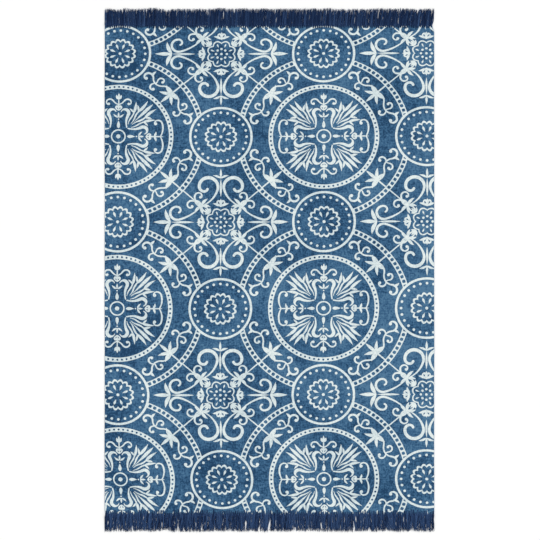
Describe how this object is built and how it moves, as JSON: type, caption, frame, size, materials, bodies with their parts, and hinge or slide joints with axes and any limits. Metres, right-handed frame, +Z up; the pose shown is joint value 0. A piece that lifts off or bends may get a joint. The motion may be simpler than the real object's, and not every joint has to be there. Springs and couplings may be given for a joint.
{
  "type": "kilim rug",
  "caption": "Flat-woven cotton kilim rug with a printed medallion lattice and a yarn fringe along each short end, lying flat on the floor.",
  "frame": {"origin": "bottom centre of the whole rug, fringes included, on the floor plane", "axes": "+X across the rug, +Y along it towards the head end, whose right corner is drawn in, +Z up out of the printed face"},
  "size_m": [1.1998, 1.904, 0.0036],
  "materials": {
    "printed_cotton": "slub cotton flatweave dyed denim blue, with an off-white medallion print on its upper face",
    "fringe_yarn": "loosely twisted navy cotton yarn"
  },
  "bodies": {
    "root": {"woven_field": "printed_cotton", "fringe_head": "fringe_yarn", "fringe_foot": "fringe_yarn"}
  },
  "joints": []
}
